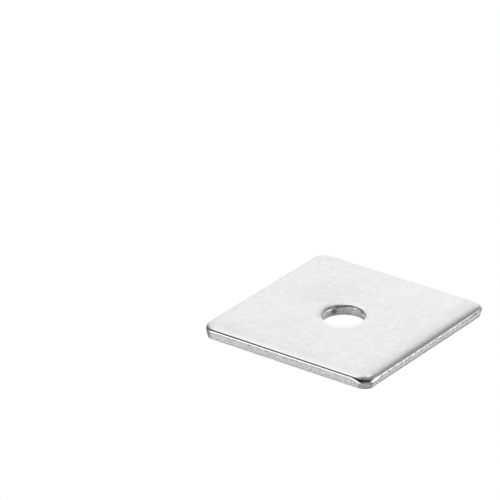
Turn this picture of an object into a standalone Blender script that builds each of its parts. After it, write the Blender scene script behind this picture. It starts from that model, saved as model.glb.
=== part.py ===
"""Square plate washer, 50 x 50 x 3 mm, with an 11 mm hole for an M10 bolt.

The plate is blanked from cold-rolled strip and its hole is punched. A blanked
edge has three zones, from the face that the tool enters down to the other one:
  roll      the face bends down over the edge in a soft curve, deeper at the corners
  burnish   a narrow straight band, where the tool sheared the metal
  break     the rest of the thickness, torn, and drawn in a little towards the underside
The punched hole has the same three zones, and its break widens downwards.

Units are metres, +Z is up. The origin is the middle of the underside, and the
sides run along X and Y. The rolled face is on top.
"""

import math

import bmesh
import bpy
from mathutils import Vector

# Plate
SIDE = 0.050
THICK = 0.003
CORNER_R = 0.0030  # of the outline, seen from above

# Outer edge
ROLL_WIDE = 0.0024  # how far the roll reaches in from the side
ROLL_DEEP = 0.00055  # how far it drops on the straight sides
RIGHT_DEEP = 0.00100  # and on the +X side
CORNER_DEEP = (0.00090, 0.00066, 0.00106, 0.00150)  # at the corners, from +X+Y anticlockwise
CORNER_REACH = 0.0042  # along the outline, from a corner's middle to where the roll is the side's again
NOSE_R = 0.00040  # the roll's round end on the straight sides
BURNISH = 0.00020
BREAK_IN = 0.00038  # how far the underside is drawn in
BREAK_SHIFT = (-0.00010, 0.00004)  # the underside sits this far off centre
EDGE_DULL = 0.00010  # the lower edge's own small rounding

# Hole
HOLE_D = 0.0110
HOLE_ROLL_WIDE = 0.0019
HOLE_ROLL_DEEP = 0.00060
HOLE_NOSE_R = 0.00040
HOLE_BURNISH = 0.00090
HOLE_BREAK_OUT = 0.00028

# Fineness
CORNER_STEPS = 12
SIDE_STEPS = (0.0008, 0.0017, 0.0030)  # extra outline points beyond each end of a corner
BEND_STEPS = 5
NOSE_STEPS = 7
HOLE_STEPS = 96

NAME = "square_plate_washer"


def collection(name, hidden=False):
    made = bpy.data.collections.new(name)
    bpy.context.scene.collection.children.link(made)
    made.hide_render = hidden
    return made


def steel(name):
    """Bright bare steel with a satin rolled face."""
    material = bpy.data.materials.new(name)
    material.use_nodes = True
    shader = material.node_tree.nodes["Principled BSDF"]
    shader.inputs["Base Color"].default_value = (0.80, 0.80, 0.79, 1.0)
    shader.inputs["Metallic"].default_value = 1.0
    shader.inputs["Roughness"].default_value = 0.34
    return material


def outline_points():
    """The plate's outline, anticlockwise, with points close together at the corners."""
    half, inner = SIDE / 2, SIDE / 2 - CORNER_R
    points = []
    for quarter in range(4):
        turn = quarter * math.pi / 2
        corner = [(half, inner - step) for step in reversed(SIDE_STEPS)]
        for i in range(CORNER_STEPS + 1):
            a = math.pi / 2 * i / CORNER_STEPS
            corner.append((inner + CORNER_R * math.cos(a), inner + CORNER_R * math.sin(a)))
        corner += [(inner - step, half) for step in SIDE_STEPS]
        for x, y in corner:
            points.append(
                (
                    x * math.cos(turn) - y * math.sin(turn),
                    x * math.sin(turn) + y * math.cos(turn),
                )
            )
    return points


def slab(low, high):
    """A bmesh of the outline standing from low to high, with one face on top and one below."""
    curve = bpy.data.curves.new("outline", "CURVE")
    curve.dimensions = "2D"
    curve.fill_mode = "BOTH"
    curve.extrude = (high - low) / 2
    points = outline_points()
    spline = curve.splines.new("POLY")
    spline.points.add(len(points) - 1)
    for point, (x, y) in zip(spline.points, points):
        point.co = (x, y, 0.0, 1.0)
    spline.use_cyclic_u = True
    guide = bpy.data.objects.new("outline", curve)
    bpy.context.scene.collection.objects.link(guide)
    bpy.context.view_layer.update()
    graph = bpy.context.evaluated_depsgraph_get()
    mesh = bpy.data.meshes.new_from_object(guide.evaluated_get(graph))
    bm = bmesh.new()
    bm.from_mesh(mesh)
    bpy.data.objects.remove(guide)
    bpy.data.curves.remove(curve)
    bpy.data.meshes.remove(mesh)
    bmesh.ops.remove_doubles(bm, verts=bm.verts, dist=1e-6)
    bmesh.ops.recalc_face_normals(bm, faces=bm.faces)
    for level in (low, high):  # each cap becomes one face
        z = level - (low + high) / 2
        cap = [f for f in bm.faces if all(abs(v.co.z - z) < 1e-6 for v in f.verts)]
        bmesh.ops.dissolve_faces(bm, faces=cap)
    bmesh.ops.translate(bm, verts=bm.verts, vec=(0.0, 0.0, (low + high) / 2))
    return bm


def step_in(bm, face, inward, upward):
    """Insets a flat face evenly and moves what is left of it up or down."""
    bmesh.ops.inset_region(
        bm, faces=[face], thickness=inward, depth=0.0, use_even_offset=True
    )
    bmesh.ops.translate(bm, verts=face.verts, vec=(0.0, 0.0, upward))


def roll_curve(wide, deep, nose, power, steps):
    """(distance from the upright side, drop) from the level face down to the roll's foot.

    The face bends down with this power of the distance, and goes over into a round nose."""
    low, high = 0.0, math.pi / 2
    for _ in range(50):
        first = (low + high) / 2  # the tilt where the nose begins
        run = wide - nose * (1 - math.sin(first))
        slope = run * math.tan(first) / power
        if slope + nose * math.cos(first) < deep:
            low = first
        else:
            high = first
    points = [(wide - run * i / steps, slope * (i / steps) ** power) for i in range(steps)]
    for i in range(NOSE_STEPS + 1):
        tilt = first + (math.pi / 2 - first) * i / NOSE_STEPS
        points.append(
            (
                nose * (1 - math.sin(tilt)),
                slope + nose * (math.cos(first) - math.cos(tilt)),
            )
        )
    return points


def corner_share(x, y):
    """1 at the middle of a corner, falling to 0 at CORNER_REACH along the outline."""
    inner = SIDE / 2 - CORNER_R
    past_x, past_y = abs(x) - inner, abs(y) - inner
    if past_x > 0 and past_y > 0:
        along = abs(math.atan2(past_y, past_x) - math.pi / 4) * CORNER_R
    else:
        along = math.pi / 4 * CORNER_R - min(past_x, past_y)
    return math.cos(math.pi / 2 * min(1.0, along / CORNER_REACH)) ** 2


def roll_depth(x, y):
    """How far the roll drops at this part of the outline."""
    turn = math.atan2(y, x) / (math.pi / 2)  # 0 is the middle of the +X side, 0.5 its left corner
    part = min(1.0, max(0.0, (abs(turn) - 0.42) / 0.16))
    right = 1 - part * part * (3 - 2 * part)
    side = ROLL_DEEP + (RIGHT_DEEP - ROLL_DEEP) * right
    corner = CORNER_DEEP[int(turn % 4)]
    return side + (corner - side) * corner_share(x, y)


def blank():
    """The blanked plate with no hole yet."""
    roll_foot = THICK - ROLL_DEEP
    break_top = roll_foot - BURNISH
    bm = slab(break_top, roll_foot)
    top = max(bm.faces, key=lambda f: f.normal.z)
    under = min(bm.faces, key=lambda f: f.normal.z)
    # The roll, from its foot up to the level face
    curve = roll_curve(ROLL_WIDE, ROLL_DEEP, NOSE_R, 2.5, BEND_STEPS)
    was_in, was_drop = curve.pop()
    for now_in, now_drop in reversed(curve):
        step_in(bm, top, now_in - was_in, was_drop - now_drop)
        was_in, was_drop = now_in, now_drop
    # The corners and the +X side roll deeper, and take the burnish down with them.
    for vert in bm.verts:
        depth = min(1.0, (THICK - vert.co.z) / ROLL_DEEP)
        vert.co.z -= depth * (roll_depth(vert.co.x, vert.co.y) - ROLL_DEEP)
    # The break, drawn in towards the underside, and the dulled lower edge. The
    # corners of its upper end have just moved down, so the face is made level first.
    bmesh.ops.inset_region(
        bm,
        faces=[under],
        thickness=BREAK_IN - EDGE_DULL / 2,
        depth=0.0,
        use_even_offset=True,
    )
    for vert in under.verts:
        vert.co.z = EDGE_DULL
    bmesh.ops.translate(bm, verts=under.verts, vec=(*BREAK_SHIFT, 0.0))
    step_in(bm, under, EDGE_DULL / 2, -EDGE_DULL)
    bmesh.ops.recalc_face_normals(bm, faces=bm.faces)
    mesh = bpy.data.meshes.new("washer_plate")
    bm.to_mesh(mesh)
    bm.free()
    return mesh


def hole_profile():
    """The punched hole's side as (radius, height), from over the plate to under it."""
    radius, past = HOLE_D / 2, 0.0003
    # A straight slope meets the face at an angle that a cut can follow.
    curve = roll_curve(HOLE_ROLL_WIDE, HOLE_ROLL_DEEP, HOLE_NOSE_R, 1, 1)
    points = [(radius + away, THICK - drop) for away, drop in curve]
    (r0, z0), (r1, z1) = points[0], points[1]
    slope = (r0 - r1) / (z0 - z1)
    points[0] = (r0 + slope * past, z0 + past)
    break_top = THICK - HOLE_ROLL_DEEP - HOLE_BURNISH
    points.append((radius, break_top))
    widen = HOLE_BREAK_OUT / break_top
    points.append((radius + widen * (break_top + past), -past))
    return points


def hole_cutter(where):
    """The hole's outside as a turned shape."""
    profile = hole_profile()
    profile = [(0.0, profile[0][1]), *profile, (0.0, profile[-1][1])]
    mesh = bpy.data.meshes.new("hole_cutter")
    edges = [(i, i + 1) for i in range(len(profile) - 1)]
    mesh.from_pydata([(r, 0.0, z) for r, z in profile], edges, [])
    cutter = bpy.data.objects.new("hole_cutter", mesh)
    where.objects.link(cutter)
    turn = cutter.modifiers.new("turn", "SCREW")
    turn.axis = "Z"
    turn.angle = 2 * math.pi
    turn.screw_offset = 0.0
    turn.steps = turn.render_steps = HOLE_STEPS
    turn.use_merge_vertices = True
    turn.merge_threshold = 1e-6
    cutter.hide_render = True
    cutter.display_type = "WIRE"
    return cutter


def main():
    for obj in list(bpy.data.objects):
        bpy.data.objects.remove(obj)
    parts = collection(NAME)
    cutters = collection("cutters", hidden=True)

    plate = bpy.data.objects.new("washer_plate", blank())
    parts.objects.link(plate)
    plate.data.materials.append(steel("bright_steel"))
    punch = plate.modifiers.new("punched_hole", "BOOLEAN")
    punch.operation = "DIFFERENCE"
    punch.solver = "EXACT"
    punch.object = hole_cutter(cutters)

    # The cut is made real, so that the whole surface can be shaded by its angles.
    bpy.context.view_layer.update()
    graph = bpy.context.evaluated_depsgraph_get()
    cut = bpy.data.meshes.new_from_object(plate.evaluated_get(graph))
    plate.modifiers.clear()
    plate.data = cut
    cut.name = "washer_plate"
    cut.shade_smooth()
    cut.set_sharp_from_angle(angle=math.radians(28))
    size = Vector(plate.bound_box[6]) - Vector(plate.bound_box[0])
    print("washer_plate: %.2f x %.2f x %.2f mm" % tuple(1000 * v for v in size))


main()
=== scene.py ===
import math

import bpy
import numpy as np
from mathutils import Matrix, Vector, noise
from mathutils.geometry import delaunay_2d_cdt


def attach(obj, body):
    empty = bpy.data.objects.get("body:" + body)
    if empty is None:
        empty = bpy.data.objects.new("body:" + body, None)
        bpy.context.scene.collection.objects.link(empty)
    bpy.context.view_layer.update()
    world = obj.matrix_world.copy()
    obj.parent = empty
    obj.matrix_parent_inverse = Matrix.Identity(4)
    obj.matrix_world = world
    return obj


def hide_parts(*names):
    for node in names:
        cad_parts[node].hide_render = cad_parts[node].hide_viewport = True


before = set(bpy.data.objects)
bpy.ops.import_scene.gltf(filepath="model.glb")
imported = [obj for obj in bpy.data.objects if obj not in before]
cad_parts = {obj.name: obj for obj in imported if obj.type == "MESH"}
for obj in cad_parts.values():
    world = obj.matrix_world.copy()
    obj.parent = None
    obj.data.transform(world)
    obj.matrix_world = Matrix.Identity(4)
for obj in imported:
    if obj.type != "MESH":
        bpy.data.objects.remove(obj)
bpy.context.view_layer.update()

# All lengths below are in millimetres until a mesh is made.

# The plate, as in the CAD model
HALF = 25.0
THICK = 3.0
CORNER_R = (2.2, 3.0, 3.5, 3.0)  # from +X+Y anticlockwise
HOLE_R = 5.38

# Its stamped edge: roll, burnish, break
CORNER_DEEP = (1.15, 0.66, 1.06, 1.52)  # the roll at each corner
CORNER_NOSE = (1.10, 0.55, 0.80, 1.50)
CORNER_LAST = (84, 84, 84, 82)  # the tilt in degrees at the roll's foot
ROLL_R = (1.8, 1.9, 1.9, 1.9)  # radius of the corners of the line where the roll starts
BREAK_SHIFT = (-0.10, 0.04)
EDGE_DULL = 0.12

# The hole's edge
HOLE_ROLL_WIDE = 2.5
HOLE_NOSE = 0.30
HOLE_BURNISH = 0.90
HOLE_BREAK_OUT = 0.28

# Small pits in the break: their place and size
PITS = (
    (-10.1, -25.0, 2.08, 0.36),
    (24.85, -22.94, 1.28, 0.42),
    (24.98, -22.37, 1.34, 0.42),
    (-25.0, 6.5, 1.5, 0.28),
)

# Fineness
SIDE_COLUMNS = 270
CORNER_COLUMNS = 36
HOLE_COLUMNS = 288
SLOPE_ROWS = 8
NOSE_ROWS = 10
BREAK_ROWS = 16

# The camera: a pinhole 4600 pixels from a frame of 500 pixels
PITCH, YAW, ROLL = math.radians(26.28), math.radians(-37.38), math.radians(-0.906)
FOCAL, NEARNESS = 4600.0, 204.1
ASIDE = (0.4585, -0.3697)
UNIT = 0.050


def wave(x, y, z, size, octaves=1):
    """Smooth noise between about -1 and 1, with features of this size in millimetres."""
    total, share, weight = 0.0, 1.0, 0.0
    for _ in range(octaves):
        total += share * noise.noise(Vector((x / size, y / size, z / size)))
        weight += share
        size, share = size / 2.1, share * 0.55
    return 1.6 * total / weight


def smooth(edge0, edge1, x):
    t = min(1.0, max(0.0, (x - edge0) / (edge1 - edge0)))
    return t * t * (3 - 2 * t)


# ---------------------------------------------------------------- the plate's mesh


def rounded(half, radii):
    """Points round a square with rounded corners, one for each column, anticlockwise from the lower end of the +X side."""
    points = []
    for quarter in range(4):
        turn = quarter * math.pi / 2
        c, s = math.cos(turn), math.sin(turn)
        radius = radii[quarter]
        inner, begin = half - radius, radii[quarter - 1] - half
        line = [
            (half, begin + (inner - begin) * i / SIDE_COLUMNS)
            for i in range(SIDE_COLUMNS)
        ]
        for i in range(CORNER_COLUMNS):
            a = math.pi / 2 * i / CORNER_COLUMNS
            line.append((inner + radius * math.cos(a), inner + radius * math.sin(a)))
        points += [(x * c - y * s, x * s + y * c) for x, y in line]
    return points


def corner_way(k):
    """(corner, distance) of a column: the nearest corner, 0 to 3 from +X+Y anticlockwise, and how far
    past its middle the column is along the outline."""
    per = SIDE_COLUMNS + CORNER_COLUMNS
    quarter, i = divmod(k, per)
    radius, before = CORNER_R[quarter], CORNER_R[quarter - 1]
    if i >= SIDE_COLUMNS:
        part = (i - SIDE_COLUMNS) / CORNER_COLUMNS
        return quarter, (part - 0.5) * math.pi / 2 * radius
    side_step = (2 * HALF - radius - before) / SIDE_COLUMNS
    if i > SIDE_COLUMNS / 2:
        return quarter, -(SIDE_COLUMNS - i) * side_step - math.pi / 4 * radius
    return (quarter - 1) % 4, i * side_step + math.pi / 4 * before


def roll_section(wide, deep, nose, last):
    """(distance from the foot, drop, tilt) down a roll: a slow bend, then a round nose that ends at the tilt last."""
    end = math.radians(last)
    low, high = 0.0, end
    for _ in range(40):
        first = (low + high) / 2
        run = wide - nose * (math.sin(end) - math.sin(first))
        drop = run * math.tan(first) / 2.5 + nose * (math.cos(first) - math.cos(end))
        if drop < deep:
            low = first
        else:
            high = first
    slope = run * math.tan(first) / 2.5
    rows = []
    for i in range(SLOPE_ROWS):
        v = i / SLOPE_ROWS
        tilt = math.atan(math.tan(first) * v**1.5)
        rows.append((wide - run * v, slope * v**2.5, tilt))
    for i in range(NOSE_ROWS + 1):
        tilt = first + (end - first) * i / NOSE_ROWS
        rows.append(
            (
                nose * (math.sin(end) - math.sin(tilt)),
                slope + nose * (math.cos(first) - math.cos(tilt)),
                tilt,
            )
        )
    return rows


class Shape:
    """Vertices and faces of one closed mesh, with values at each vertex that say how it was worked."""

    def __init__(self):
        self.places, self.faces = [], []
        self.values = {name: [] for name in ("roll", "torn", "band", "low", "dark", "bore", "shine")}

    def add(self, x, y, z, **values):
        self.places.append((x, y, z))
        for name, column in self.values.items():
            column.append(values.get(name, 0.0))
        return len(self.places) - 1

    def strip(self, upper, lower):
        """Quads between two rings. Seen from outside, upper is above lower, and they run anticlockwise."""
        n = len(upper)
        for k in range(n):
            m = (k + 1) % n
            self.faces.append((upper[k], lower[k], lower[m], upper[m]))

    def cap(self, ring, hole, up):
        """Triangles between an outer ring and the hole's ring, with some points in between."""
        z = self.places[ring[0]][2]
        ids = list(ring) + list(hole)
        flat = [Vector(self.places[i][:2]) for i in ids]
        edges = [(k, (k + 1) % len(ring)) for k in range(len(ring))]
        edges += [
            (len(ring) + k, len(ring) + (k + 1) % len(hole)) for k in range(len(hole))
        ]
        reach = max(p.x for p in flat[: len(ring)])
        hole_r = max(p.length for p in flat[len(ring) :])
        step = 1.25
        count = int(reach / step)
        for i in range(-count, count + 1):
            for j in range(-count, count + 1):
                x, y = (i + 0.5 * (j % 2)) * step, j * step
                corner = min(reach - abs(x), reach - abs(y))
                if corner < 0.8 or math.hypot(x, y) < hole_r + 0.8:
                    continue
                if abs(x) + abs(y) > 2 * reach - 2.0:
                    continue
                flat.append(Vector((x, y)))
                ids.append(self.add(x, y, z, low=0.0 if up else 1.0))
        out, _, tris, orig, _, _ = delaunay_2d_cdt(flat, edges, [], 0, 1e-7)
        back = [ids[o[0]] for o in orig]
        border = np.array([self.places[i][:2] for i in ring])
        for tri in tris:
            a, b, c = (out[i] for i in tri)
            mid = (a + b + c) / 3
            if mid.length < hole_r - 1e-4 and self._in_hole(mid, hole):
                continue
            if not self._inside(mid, border):
                continue
            turn = (b - a).cross(c - a)
            face = tuple(back[i] for i in tri)
            if (turn > 0) != up:
                face = face[::-1]
            self.faces.append(face)

    def _in_hole(self, point, hole):
        return self._inside(point, np.array([self.places[i][:2] for i in hole]))

    @staticmethod
    def _inside(point, border):
        x, y = point
        x0, y0 = border[:, 0], border[:, 1]
        x1, y1 = np.roll(x0, -1), np.roll(y0, -1)
        crosses = (y0 > y) != (y1 > y)
        with np.errstate(divide="ignore", invalid="ignore"):
            at = x0 + (y - y0) / (y1 - y0) * (x1 - x0)
        return bool((crosses & (x < at)).sum() % 2)


def facing(x, y, side):
    """How much the outline at a point belongs to a side: 0 is +X, 1 is +Y, 2 is -X and 3 is -Y."""
    a = (math.atan2(y, x) / (math.pi / 2) - side + 2) % 4 - 2
    return 1 - smooth(0.42, 0.58, abs(a))


class Edge:
    """The stamped edge's sizes at one column of the outline, and the painted shade and highlights there."""

    def __init__(self, k, x, y):
        corner, way = corner_way(k)
        share = math.cos(math.pi / 2 * min(1.0, abs(way) / 4.2)) ** 2
        right = facing(x, y, 0)
        # The corners roll deeper and rounder, and have no burnish in their middle.
        self.right = right
        self.deep = 0.55 + 0.50 * right
        narrower = 1.5 if corner == 2 else 2.2 if corner == 3 and way > 0 else 1.0
        self.deep += (CORNER_DEEP[corner] - self.deep) * share**narrower
        self.deep += 0.02 * wave(x, y, 3.0, 9.0, 2)
        self.nose = 0.40 + 0.40 * right
        self.nose += (CORNER_NOSE[corner] - self.nose) * share**1.3
        self.last = 90 + (CORNER_LAST[corner] - 90) * share**2
        off = (-1.4, 0.1, 0.4, 0.1)[corner]
        more = 0.6 * (corner == 0)
        self.dull = 1 - smooth(1.0 + more, 1.9 + more, abs(way - off))
        past = abs(way) + 0.5 * (corner == 3 and way > 0)
        # Painted shade on each corner's roll, strongest at the middle of the corner.
        self.dark = (0.8, 0.6, 1.5, 0.9)[corner] * (1 - smooth(1.2, 3.0, past))
        # Painted shade on the rolls of the -X-Y and +X-Y corners, from the tilt begin onward.
        self.painted_corner_shade = (0, 0, 0.5, 1.3)[corner] * (
            1 - smooth(0.9, 2.8, abs(way - 0.9) if corner == 2 else past)
        )
        self.begin = 16 if corner == 2 else 5
        # Painted shade: a dark line along the roll of the -Y side, darker towards -X.
        self.line = (1.5 + 0.8 * smooth(7.0, 19.0, -x)) * facing(x, y, 3)
        # Painted shade on the steep part of the roll round the +X+Y corner, and a patchy painted shade along the -Y
        # side's roll.
        self.rim_shade = 1.1 * (corner == 0) * (1 - smooth(3.0, 6.5, -way if way < 0 else 1.6 * way))
        self.rim_shade_from = 60 - 36 * (corner == 0) * smooth(-2.2, -0.8, way)
        self.rim_shade += facing(x, y, 3) * (0.16 + 0.5 * max(0.0, wave(x, y, 13.0, 0.8, 2)))
        # The burnish is narrow, wider beside the front corner, and fades along the +X side.
        near = 1 - smooth(2.6 + 0.6 * right, 5.6 - 0.6 * right, abs(way))
        near *= corner == 3
        height = 0.14 - 0.06 * right
        height += 0.05 * wave(x, y, 11.0, 5.0, 2) + 0.03 * wave(x, y, 5.0, 0.9, 2)
        height += (0.14 + 0.24 * right) * near
        self.burnish = max(0.06, height) * (1 - self.dull) + 0.04 * self.dull
        gaps = smooth(-0.15, 0.15, wave(x, y, 31.0, 1.1, 2)) * (1 - near)
        gaps = max(0.9 * gaps, 0.25 * (1 - near))
        self.matt = max(self.dull, right * max(gaps, smooth(8.0, 19.0, y)))
        self.lip = 0.25 + 0.75 * right
        # Painted shade that dims the burnish along the +X side, more towards +Y.
        self.plus_x_band_shade = (0.35 + 0.4 * smooth(8.0, 18.0, y)) * right * (1 - near) * (1 - self.dull)
        # The lower parts of three corners are drawn a little aside.
        drawn = (-0.14, 0.0, 0.04, 0.22)[corner] * (1 - smooth(1.2, 4.5, abs(way)))
        self.drawn = (0.79 * drawn, 0.61 * drawn)


def outer_edge(shape):
    """The rolled, burnished and torn outer edge. Returns the rings where the level faces meet it."""
    side = rounded(HALF, CORNER_R)
    count = len(side)
    edges = [Edge(k, *side[k]) for k in range(count)]
    narrow, broad = rounded(HALF - 2.4, ROLL_R), rounded(HALF - 3.1, ROLL_R)
    start, sections = [], []
    for e, (x0, y0), (x1, y1), (x2, y2) in zip(edges, narrow, broad, side):
        x, y = x0 + (x1 - x0) * e.right, y0 + (y1 - y0) * e.right
        e.wide = math.hypot(x2 - x, y2 - y)
        start.append((x, y))
        sections.append(roll_section(e.wide, e.deep, e.nose, e.last))
    rings = []
    # roll
    for row in range(SLOPE_ROWS + NOSE_ROWS + 1):
        ring = []
        for k in range(count):
            (x0, y0), (x1, y1) = start[k], side[k]
            away, drop, tilt = sections[k][row]
            t = 1 - away / edges[k].wide
            tilt = math.degrees(tilt)
            keep = 1 - edges[k].matt
            ring.append(
                shape.add(
                    x0 + (x1 - x0) * t,
                    y0 + (y1 - y0) * t,
                    THICK - drop,
                    roll=smooth(4, 45, tilt),
                    band=smooth(70, 88, tilt) * keep,
                    torn=smooth(72, 80, tilt) * edges[k].matt,
                    # Painted shade on the roll at the corners, along the -Y line and at the rim, the +X burnish
                    # dimmed, and a painted lighter stretch on the +X roll's gentle slope.
                    dark=edges[k].dark * smooth(40, 70, tilt)
                    + edges[k].painted_corner_shade
                    * smooth(edges[k].begin, edges[k].begin + 14, tilt)
                    * (1 - 0.45 * smooth(32, 45, tilt) - 0.55 * smooth(76, 81, tilt))
                    + edges[k].line * smooth(14, 29, tilt) * (1 - smooth(68, 78, tilt))
                    + edges[k].rim_shade
                    * smooth(edges[k].rim_shade_from, edges[k].rim_shade_from + 12, tilt)
                    + edges[k].plus_x_band_shade * smooth(68, 80, tilt)
                    - 0.22 * edges[k].right * smooth(8, 24, tilt) * (1 - smooth(56, 70, tilt)),
                )
            )
        rings.append(ring)
    # burnish
    for part in (0.5, 1.0):
        ring = []
        for k in range(count):
            x, y = side[k]
            e = edges[k]
            ring.append(
                shape.add(
                    x,
                    y,
                    THICK - e.deep - e.burnish * part,
                    roll=1.0,
                    band=1.0 - e.matt,
                    torn=e.matt,
                    # The roll's painted shade carried onto the burnish.
                    dark=max(e.dark, e.rim_shade) + e.plus_x_band_shade,
                )
            )
        rings.append(ring)
    # break
    for row in range(1, BREAK_ROWS + 1):
        v = (row / BREAK_ROWS) ** 1.25
        ring = []
        for k in range(count):
            x, y = side[k]
            e = edges[k]
            top = THICK - e.deep - e.burnish
            z = top + (EDGE_DULL - top) * v
            nx, ny = outward(side, k)
            inset = 0.34 - EDGE_DULL * 0.3
            step = 0.05 * smooth(0, 0.12, v) * (1 - e.dull)
            grain = (
                0.5
                + 0.55 * wave(x, y, z * 0.8, 0.36, 3)
                + 0.15 * wave(x, y, z * 0.35, 1.7, 1)
            )
            rough = 0.050 * grain * smooth(0.0, 0.15, v) * (1 - 0.4 * smooth(0.9, 1, v))
            # a broken line of small hollows under the burnish
            hollow = smooth(0.02, 0.10, v) * (1 - smooth(0.16, 0.34, v))
            hollow *= 0.09 * e.lip * max(0.0, 0.25 + 1.8 * wave(x, y, 21.0, 0.9, 2))
            hollow *= 1 - e.dull
            inward = step + (inset - step) * v**1.1 + max(0.0, rough) + hollow
            pit = 0.0
            for px, py, pz, size in PITS:
                away = math.dist((x, y, z), (px, py, pz)) / size
                pit = max(pit, 1 - smooth(0.3, 1.0, away))
            inward += 0.12 * pit
            ring.append(
                shape.add(
                    x - nx * inward + (BREAK_SHIFT[0] + e.drawn[0]) * v,
                    y - ny * inward + (BREAK_SHIFT[1] + e.drawn[1]) * v,
                    z + 0.02 * wave(x, y, z + 7, 0.5, 2) * (1 - v) * smooth(0, 0.1, v),
                    torn=smooth(0.0, 0.05, v),
                    # Painted shade: darker in the hollows and pits, at the foot of the +X side's break and under its
                    # rim shade. On the other sides the break is darker at its top and painted lighter lower down.
                    dark=e.dark
                    + 1.6 * hollow / 0.09
                    + 2.2 * pit
                    + 1.1 * e.right * smooth(0.76, 0.92, v)
                    + 0.3 * e.rim_shade * e.right * (1 - smooth(0.04, 0.24, v))
                    + (1 - e.right) * (0.25 - 0.31 * smooth(0.1, 0.7, v)),
                )
            )
        rings.append(ring)
    # lower edge
    last = rings[-1]
    for part in (35, 65, 90):
        a = math.radians(part)
        ring = []
        for k in range(count):
            x, y, z = shape.places[last[k]]
            nx, ny = outward(side, k)
            inward = EDGE_DULL * 0.7 * (1 - math.cos(a))
            ring.append(
                shape.add(
                    x - nx * inward,
                    y - ny * inward,
                    z * (1 - math.sin(a)),
                    torn=1 - smooth(40, 90, part),
                    low=smooth(40, 90, part),
                    # The corners' painted shade, fading round the lower edge.
                    dark=edges[k].dark * (1 - smooth(40, 90, part)),
                )
            )
        rings.append(ring)
    for inset in (0.5, 1.1):
        under = rounded(HALF - 0.42 - inset, [r - 0.4 - inset * 0.4 for r in CORNER_R])
        rings.append(
            [
                shape.add(x + BREAK_SHIFT[0], y + BREAK_SHIFT[1], 0.0, low=1.0)
                for x, y in under
            ]
        )
    for upper, lower in zip(rings, rings[1:]):
        shape.strip(upper, lower)
    return rings[0], rings[-1]


def outward(points, k):
    """The outward normal of an outline at column k."""
    n = len(points)
    (x0, y0), (x1, y1) = points[k - 1], points[(k + 1) % n]
    dx, dy = x1 - x0, y1 - y0
    length = math.hypot(dx, dy)
    return dy / length, -dx / length


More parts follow.
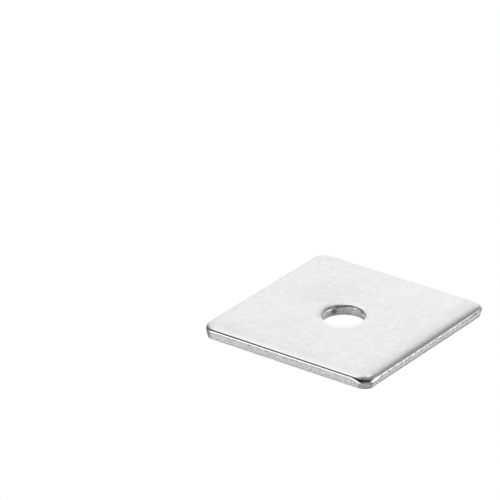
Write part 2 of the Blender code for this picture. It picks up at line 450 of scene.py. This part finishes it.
def hole_edge(shape):
    """The punched hole's side, from the level top face to the level underside."""
    rings = []
    turns = [2 * math.pi * k / HOLE_COLUMNS for k in range(HOLE_COLUMNS)]

    def ring(radius, height, **values):
        made = []
        for a in turns:
            c, s = math.cos(a), math.sin(a)
            r = radius(c, s) if callable(radius) else radius
            z = height(c, s) if callable(height) else height
            here = {n: v(c, s) if callable(v) else v for n, v in values.items()}
            made.append(shape.add(r * c, r * s, z, **here))
        rings.append(made)

    def middle(c, s, at=133, half=26):
        """1 at this angle round the hole, and 0 from half degrees away."""
        away = abs((math.degrees(math.atan2(s, c)) - at + 180) % 360 - 180)
        return 1 - smooth(0, half, away)

    def nose(c, s):
        return HOLE_NOSE + 0.38 * middle(c, s, 137, 55) - 0.08 * middle(c, s, 217, 60)

    def deep(c, s):
        slope = 0.20 + 0.02 * wave(c * 5.5, s * 5.5, 1.0, 4.0, 2)
        return slope + nose(c, s) * 0.97

    def burnish(c, s):
        return (
            HOLE_BURNISH
            + 0.16 * wave(c * 5.5, s * 5.5, 4.0, 3.2, 2)
            + 0.06 * wave(c * 5.5, s * 5.5, 9.0, 0.7, 2)
        )

    sections = {}
    for a in turns:
        c, s = math.cos(a), math.sin(a)
        sections[c, s] = roll_section(HOLE_ROLL_WIDE, deep(c, s), nose(c, s), 90)
    for row in range(SLOPE_ROWS + NOSE_ROWS + 1):
        v = math.degrees(sections[1.0, 0.0][row][2])
        steep = smooth(54, 74, v)
        ring(
            lambda c, s, row=row: HOLE_R + sections[c, s][row][0],
            lambda c, s, row=row: THICK - sections[c, s][row][1],
            roll=smooth(4, 45, v),
            band=steep,
            # Painted shade on the hole's steep roll. It is lighter round 205 and 112 degrees and at a spot near 95
            # degrees. The same value also makes the bore rougher.
            bore=lambda c, s, steep=steep, late=smooth(76, 88, v): steep
            * (1 - 0.35 * middle(c, s, 205, 40) - 0.32 * middle(c, s, 112, 15))
            - 0.6 * middle(c, s, 95, 6) * late,
            # Painted shade on the roll at the far side of the hole, lighter near 111 and 154 degrees, and dark on the
            # roll near 64 degrees.
            dark=lambda c, s, v=v: (
                0.5 * middle(c, s, 144, 60)
                + 0.9 * middle(c, s, 134, 22)
                - 0.9 * middle(c, s, 111, 14)
                - 0.8 * middle(c, s, 154, 14)
            )
            * smooth(18, 34, v)
            + 0.9 * middle(c, s, 64, 20) * smooth(50, 75, v)
            + 0.7 * middle(c, s, 65, 10) * smooth(6, 24, v),
            # Painted highlight on the gentle outer part of the roll on the near side of the hole.
            shine=lambda c, s, row=row: middle(c, s, -53, 95)
            * (1 - smooth(0.4, HOLE_ROLL_WIDE, sections[c, s][row][0])),
        )
    for row in range(1, 9):
        part = row / 8

        def painted_patch_shade(c, s, part=part):
            """Painted shade: dark patches on the hole's burnish, round 152 and 68 degrees."""
            shade_patch = 2.0 * middle(c, s, 152, 16) * smooth(-0.1, 0.35, part)
            return shade_patch + 1.8 * middle(c, s, 68, 11) * (1 - smooth(0.5, 0.9, part))

        def painted_gleam(c, s, part=part):
            """Painted highlights on the hole's burnish: short bright streaks near the roll's foot and at its lower
            end, and a lighter wall round 184 to 205 degrees.
            """
            return (
                middle(c, s, 167, 19) * (1 - smooth(0.12, 0.31, abs(part - 0.14)))
                + 0.7 * middle(c, s, 95, 7) * (1 - smooth(0.10, 0.25, abs(part - 0.15)))
                + 0.95 * middle(c, s, 59, 7) * (1 - smooth(0.15, 0.5, abs(part - 1.0)))
                + 0.26 * middle(c, s, 205, 40)
                + 0.12 * middle(c, s, 184, 24) * smooth(0.3, 0.8, part)
            )

        ring(
            HOLE_R,
            lambda c, s, part=part: THICK - deep(c, s) - burnish(c, s) * part,
            roll=1.0,
            band=1.0,
            # Painted shade over the hole's burnish, lifted by the painted highlights and away from the far side.
            bore=lambda c, s: 1.0 - painted_gleam(c, s) - 0.18 * (1 - middle(c, s, 133, 60)),
            dark=painted_patch_shade,
        )
    rows = 9
    for row in range(1, rows + 1):
        v = row / rows

        def radius(c, s, v=v):
            x, y = 5.6 * c, 5.6 * s
            grain = 0.5 + 0.5 * wave(x, y, 1.5 * (1 - v), 0.42, 3)
            out = 0.04 * smooth(0, 0.15, v) + (HOLE_BREAK_OUT - 0.08) * v**1.1
            return HOLE_R + out + 0.04 * max(0.0, grain) * smooth(0, 0.15, v)

        def height(c, s, v=v):
            top = THICK - deep(c, s) - burnish(c, s)
            return top + (EDGE_DULL - top) * v

        def shade(c, s, v=v):
            # Painted shade: dark patches near 150 and 66 degrees, and darker towards the bottom.
            painted_patch_shade = 2.0 * middle(c, s, 150, 13) * (1 - smooth(0.1, 1.0, v))
            painted_patch_shade += 0.6 * middle(c, s, 66, 13) * smooth(0.7, 0.95, v)
            return painted_patch_shade + 0.5 * smooth(0.65, 0.95, v)

        def inside(c, s, v=v):
            # Painted shade on the hole's break, lifted by painted light near 59, 85, 97, 182 and 205 degrees.
            painted_light = 0.9 * middle(c, s, 59, 9) * (1 - smooth(0.25, 0.65, v))
            painted_light += 0.36 * middle(c, s, 85, 50) + 0.3 * middle(c, s, 97, 16)
            painted_light += 0.5 * middle(c, s, 182, 24) + 0.2 * middle(c, s, 205, 40)
            return 1 - painted_light

        ring(radius, height, torn=smooth(0.0, 0.12, v), bore=inside, dark=shade)
    ring(HOLE_R + HOLE_BREAK_OUT + 0.03, 0.03, torn=0.5, low=0.5)
    ring(HOLE_R + HOLE_BREAK_OUT + 0.10, 0.0, low=1.0)
    ring(HOLE_R + HOLE_BREAK_OUT + 0.60, 0.0, low=1.0)
    for upper, lower in zip(rings, rings[1:]):
        shape.strip(upper[::-1], lower[::-1])
    return rings[0], rings[-1]


def painted_top_shading(x, y, z):
    """Painted shade and painted highlights on the top face: darker near the +X and -Y sides, towards the -X-Y corner
    and at -X of the hole, lighter towards +Y and at +X of the hole.
    """
    near = 0.13 * (1 - smooth(2.2, 6.5, HALF - x)) + 0.09 * (1 - smooth(2.4, 8.0, HALF + y))
    corner = 0.09 * (1 - smooth(0.0, 11.0, math.hypot(x + 19.0, y + 24.0)))
    corner += 0.05 * (1 - smooth(2.0, 12.0, math.hypot(x + 9.0, y + 14.0)))
    inner = 0.10 * (1 - smooth(2.0, 11.0, math.hypot(x + 10.0, y - 7.0)))
    bright = 0.10 * smooth(11.0, 22.0, y) * smooth(-8.0, 5.0, x) * smooth(3.0, 8.0, HALF - x)
    bright += 0.06 * (1 - smooth(1.0, 6.0, math.hypot(x - 10.0, y)))
    return (near + corner + inner - bright) * (1 - smooth(0.0, 0.15, THICK - z))


def plate():
    shape = Shape()
    top, under = outer_edge(shape)
    hole_top, hole_under = hole_edge(shape)
    shape.cap(top, hole_top, up=True)
    shape.cap(under, hole_under, up=False)
    # Painted shade and highlights on the top face.
    for i, place in enumerate(shape.places):
        shape.values["dark"][i] += painted_top_shading(*place)
    mesh = bpy.data.meshes.new("plate")
    mesh.from_pydata(
        [(x / 1000, y / 1000, z / 1000) for x, y, z in shape.places], [], shape.faces
    )
    mesh.validate()
    for name, values in shape.values.items():
        made = mesh.attributes.new(name, "FLOAT", "POINT")
        made.data.foreach_set("value", values)
    mesh.shade_smooth()
    obj = bpy.data.objects.new("plate", mesh)
    bpy.context.scene.collection.objects.link(obj)
    return obj


# ---------------------------------------------------------------- materials


class Nodes:
    """Short names for making and joining shader nodes."""

    def __init__(self, tree):
        self.tree = tree

    def add(self, kind, **settings):
        node = self.tree.nodes.new(kind)
        for name, value in settings.items():
            setattr(node, name, value)
        return node

    def join(self, source, target):
        self.tree.links.new(source, target)

    def feed(self, socket, value):
        if isinstance(value, bpy.types.NodeSocket):
            self.join(value, socket)
        else:
            socket.default_value = value

    def math(self, operation, a, b=0.0, c=0.0, clamp=False):
        node = self.add("ShaderNodeMath", operation=operation, use_clamp=clamp)
        for socket, value in zip(node.inputs, (a, b, c)):
            self.feed(socket, value)
        return node.outputs[0]

    def map(self, value, low, high, to_low, to_high, smooth=True):
        node = self.add(
            "ShaderNodeMapRange",
            interpolation_type="SMOOTHSTEP" if smooth else "LINEAR",
        )
        for socket, v in zip(node.inputs, (value, low, high, to_low, to_high)):
            self.feed(socket, v)
        return node.outputs[0]

    def mix(self, share, a, b):
        """A mix of two numbers."""
        node = self.add("ShaderNodeMix", data_type="FLOAT")
        self.feed(node.inputs[0], share)
        self.feed(node.inputs[2], a)
        self.feed(node.inputs[3], b)
        return node.outputs[0]

    def value(self, name):
        return self.add("ShaderNodeAttribute", attribute_name=name).outputs["Fac"]

    def noise(self, where, scale, detail=2.0, rough=0.5):
        node = self.add("ShaderNodeTexNoise", noise_dimensions="3D")
        self.join(where, node.inputs["Vector"])
        node.inputs["Scale"].default_value = scale
        node.inputs["Detail"].default_value = detail
        node.inputs["Roughness"].default_value = rough
        return node.outputs[0]

    def stretch(self, where, scale, turn=0.0):
        node = self.add("ShaderNodeMapping")
        self.join(where, node.inputs["Vector"])
        node.inputs["Rotation"].default_value = (0.0, 0.0, turn)
        node.inputs["Scale"].default_value = scale
        return node.outputs[0]


def steel():
    """Bright steel. The level faces and rolls are satin, the burnish is smooth, and the break is matt and grainy. Its
    colour carries painted shade and painted highlights from values at the vertices.
    """
    material = bpy.data.materials.new("bright_steel")
    material.use_nodes = True
    tree = material.node_tree
    shader = tree.nodes["Principled BSDF"]
    n = Nodes(tree)
    place = n.add("ShaderNodeTexCoord").outputs["Object"]
    roll, torn = n.value("roll"), n.value("torn")
    band, low = n.value("band"), n.value("low")

    # The mill finish: faint clouds, and a grain drawn out along the strip
    clouds = n.noise(place, 140.0, 3.0, 0.55)
    grain = n.noise(n.stretch(place, (90.0, 1500.0, 900.0)), 1.0, 4.0, 0.6)
    satin = n.math("ADD", n.map(clouds, 0.3, 0.7, 0.30, 0.37), n.map(grain, 0.3, 0.7, -0.014, 0.014))
    streaks = n.noise(n.stretch(place, (2600.0, 2600.0, 240.0)), 1.0, 2.0, 0.6)
    bore = n.value("bore")
    smooth_band = n.math(
        "ADD", n.map(streaks, 0.3, 0.7, 0.13, 0.24), n.math("MULTIPLY", bore, 0.14)
    )
    speckle = n.noise(place, 3200.0, 4.0, 0.65)
    matt = n.map(speckle, 0.3, 0.7, 0.38, 0.60)

    level = n.map(clouds, 0.25, 0.75, 0.80, 0.85)
    fine_clouds = n.noise(place, 820.0, 4.0, 0.7)
    level = n.math("ADD", level, n.map(fine_clouds, 0.3, 0.7, -0.043, 0.043))
    # A few patches of short fine scratches
    lines = n.noise(n.stretch(place, (420.0, 5600.0, 420.0), 0.45), 1.0, 1.0, 0.5)
    patch = n.map(n.noise(place, 210.0, 1.0, 0.5), 0.60, 0.68, 0.0, 1.0)
    scratch = n.math("MULTIPLY", n.map(lines, 0.60, 0.68, 0.0, 1.0), patch)
    level = n.math("MULTIPLY_ADD", scratch, -0.07, level)
    satin = n.math("MULTIPLY_ADD", scratch, 0.05, satin)
    rolled = n.mix(roll, satin, 0.17)
    rough = n.mix(torn, n.mix(band, rolled, smooth_band), matt)
    n.feed(shader.inputs["Roughness"], rough)
    drawn = n.noise(n.stretch(place, (1500.0, 1500.0, 3200.0)), 1.0, 4.0, 0.6)
    torn_tone = n.math(
        "ADD",
        n.map(speckle, 0.32, 0.68, 0.365, 0.60),
        n.map(drawn, 0.3, 0.7, -0.10, 0.11),
    )
    # Painted shade in the bore darkens the steel there, and painted shine lightens the hole's near rim.
    level = n.math("MULTIPLY", level, n.mix(bore, 1.0, 0.31))
    torn_tone = n.math("MULTIPLY", torn_tone, n.mix(bore, 1.0, 0.62))
    level = n.math("MULTIPLY", level, n.mix(n.value("shine"), 1.0, 1.23))
    tone = n.mix(torn, level, torn_tone)
    # Painted shade and light: the dark value darkens the colour and the specular tint, and where it is below zero it
    # lightens the colour as a painted highlight.
    dark = n.math("MULTIPLY_ADD", n.value("dark"), -0.36, 1.0)
    dark = n.math("MAXIMUM", dark, 0.2)
    tone = n.math("MULTIPLY", tone, dark)
    for grey, socket in ((tone, "Base Color"), (n.math("MINIMUM", dark, 1.0), "Specular Tint")):
        colour = n.add("ShaderNodeCombineColor")
        for channel in colour.inputs[:3]:
            n.feed(channel, grey)
        n.join(colour.outputs[0], shader.inputs[socket])
    shader.inputs["Metallic"].default_value = 1.0

    bump = n.add("ShaderNodeBump")
    bump.inputs["Strength"].default_value = 1.0
    bump.inputs["Distance"].default_value = 1.0
    fine = n.math("MULTIPLY", grain, 0.0000009)
    coarse = n.math("MULTIPLY", speckle, 0.00003)
    drag = n.math("MULTIPLY", streaks, 0.0000015)
    height = n.mix(torn, n.mix(band, fine, drag), coarse)
    n.feed(bump.inputs["Height"], height)
    n.join(bump.outputs[0], shader.inputs["Normal"])
    return material


# ---------------------------------------------------------------- stage


def camera():
    cp, sp = math.cos(PITCH), math.sin(PITCH)
    cy, sy = math.cos(YAW), math.sin(YAW)
    back = Vector((-cp * sy, -cp * cy, sp))
    right = Vector((cy, -sy, 0.0))
    up = back.cross(right)
    cr, sr = math.cos(ROLL), math.sin(ROLL)
    right, up = right * cr + up * sr, up * cr - right * sr
    place = (back * (FOCAL / NEARNESS) - right * ASIDE[0] - up * ASIDE[1]) * UNIT
    data = bpy.data.cameras.new("camera")
    data.sensor_width = 36.0
    data.lens = FOCAL / 500 * 36.0
    data.clip_start, data.clip_end = 0.01, 20.0
    made = bpy.data.objects.new("camera", data)
    made.matrix_world = Matrix(
        (
            (right.x, up.x, back.x, place.x),
            (right.y, up.y, back.y, place.y),
            (right.z, up.z, back.z, place.z),
            (0, 0, 0, 1),
        )
    )
    bpy.context.scene.collection.objects.link(made)
    bpy.context.scene.camera = made


def floor():
    """A white floor. It looks evenly white, and takes the plate's shadow only in what the steel reflects."""
    bpy.ops.mesh.primitive_plane_add(size=40.0, location=(0, 0, -0.00002))
    made = bpy.context.object
    made.name = "floor"
    material = bpy.data.materials.new("floor")
    material.use_nodes = True
    tree = material.node_tree
    tree.nodes.clear()
    n = Nodes(tree)
    seen = n.add("ShaderNodeLightPath").outputs["Is Camera Ray"]
    matt = n.add("ShaderNodeBsdfDiffuse")
    matt.inputs["Color"].default_value = (0.85, 0.85, 0.85, 1)
    glow = n.add("ShaderNodeEmission")
    glow.inputs["Strength"].default_value = 0.85
    lit = n.add("ShaderNodeAddShader")
    n.join(matt.outputs[0], lit.inputs[0])
    n.join(glow.outputs[0], lit.inputs[1])
    white = n.add("ShaderNodeEmission")
    white.inputs["Strength"].default_value = 1.0
    mixed = n.add("ShaderNodeMixShader")
    n.join(seen, mixed.inputs[0])
    n.join(lit.outputs[0], mixed.inputs[1])
    n.join(white.outputs[0], mixed.inputs[2])
    out = n.add("ShaderNodeOutputMaterial")
    n.join(mixed.outputs[0], out.inputs["Surface"])
    made.data.materials.append(material)


def studio():
    """A large soft light behind and to the left, soft light from above, and a dim front."""
    world = bpy.data.worlds.new("studio")
    bpy.context.scene.world = world
    world.use_nodes = True
    tree = world.node_tree
    tree.nodes.clear()
    n = Nodes(tree)
    way = n.add("ShaderNodeTexCoord").outputs["Generated"]

    def across(x, y, z):
        """How far each direction points along this one, from -1 to 1."""
        node = n.add("ShaderNodeVectorMath", operation="DOT_PRODUCT")
        n.join(way, node.inputs[0])
        node.inputs[1].default_value = (x, y, z)
        return node.outputs["Value"]

    def towards(azimuth, elevation):
        """The same by angles. Azimuth 0 is +Y and 90 is -X."""
        a, e = math.radians(azimuth), math.radians(elevation)
        c = math.cos(e)
        return across(-math.sin(a) * c, math.cos(a) * c, math.sin(e))

    # The large light ends on its right at azimuth 26, and farther out near the horizon.
    upper = n.map(towards(116, 0), -0.18, 0.17, 0.0, 1.0)
    lower = n.map(across(-0.9255, -0.1663, -0.3399), -0.15, 0.17, 0.0, 1.0)
    right = n.math("MAXIMUM", upper, lower)
    left = n.map(towards(175, 0), -0.35, 0.05, 1.0, 0.05)
    height = n.map(towards(0, 90), 0.80, 0.99, 1.0, 0.16)
    level = n.map(towards(58, 50), 0.90, 0.99, 1.28, 1.65)
    card = n.map(towards(70, 14), 0.84, 0.95, 1.0, 0.74)
    low_card = n.map(towards(73, 1), 0.925, 0.99, 1.0, 0.30)
    for share in (right, left, height, card, low_card):
        level = n.math("MULTIPLY", level, share)
    # Dim lights on the right, low at the front right and low on the left, and a glow round the horizon
    level = n.math("ADD", level, n.map(towards(-35, 40), 0.35, 0.95, 0.0, 0.36))
    level = n.math("ADD", level, n.map(towards(100, 0), 0.75, 0.98, 0.0, 0.50))
    fill = n.map(towards(262, 6), 0.76, 0.98, 0.0, 0.38)
    horizon = n.map(towards(0, 90), 0.03, 0.30, 0.16, 0.0)
    # Smaller lights overhead, behind, at the left and in front, which the level top mirrors to other sides
    above = n.map(towards(0, 90), 0.955, 0.995, 0.0, 1.1)
    behind = n.map(towards(-8, 6), 0.93, 0.985, 0.0, 1.2)
    aside = n.map(towards(97, 7), 0.93, 0.985, 0.0, 1.1)
    ahead = n.map(towards(225, 14), 0.925, 0.985, 0.0, 1.5)
    before = n.map(towards(137, 40), 0.93, 0.985, 0.0, 0.5)
    for more in (fill, horizon, above, behind, aside, ahead, before):
        level = n.math("ADD", level, more)
    level = n.math("ADD", level, 0.03)
    light = n.add("ShaderNodeBackground")
    n.feed(light.inputs["Strength"], level)
    white = n.add("ShaderNodeBackground")
    white.inputs["Color"].default_value = (1, 1, 1, 1)
    mixed = n.add("ShaderNodeMixShader")
    n.join(n.add("ShaderNodeLightPath").outputs["Is Camera Ray"], mixed.inputs[0])
    n.join(light.outputs[0], mixed.inputs[1])
    n.join(white.outputs[0], mixed.inputs[2])
    out = n.add("ShaderNodeOutputWorld")
    n.join(mixed.outputs[0], out.inputs["Surface"])

    # A lamp for the floor only: the steel doesn't reflect it, but does reflect the floor that it lights.
    data = bpy.data.lights.new("floor_lamp", "AREA")
    data.shape, data.size, data.energy = "DISK", 0.5, 5.0
    lamp = bpy.data.objects.new("floor_lamp", data)
    a, e = math.radians(60), math.radians(52)
    aim = Vector(
        (-math.sin(a) * math.cos(e), math.cos(a) * math.cos(e), math.sin(e))
    )
    lamp.location = aim * 0.9
    lamp.rotation_mode = "QUATERNION"
    lamp.rotation_quaternion = aim.to_track_quat("Z", "Y")
    lamp.visible_glossy = False
    lamp.visible_camera = False
    bpy.context.scene.collection.objects.link(lamp)


# ---------------------------------------------------------------- scene

camera()
studio()
floor()

washer = plate()
washer.data.materials.append(steel())
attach(washer, "root")
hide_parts("washer_plate")

bpy.context.scene.view_settings.view_transform = "Standard"
bpy.context.scene.view_settings.look = "None"
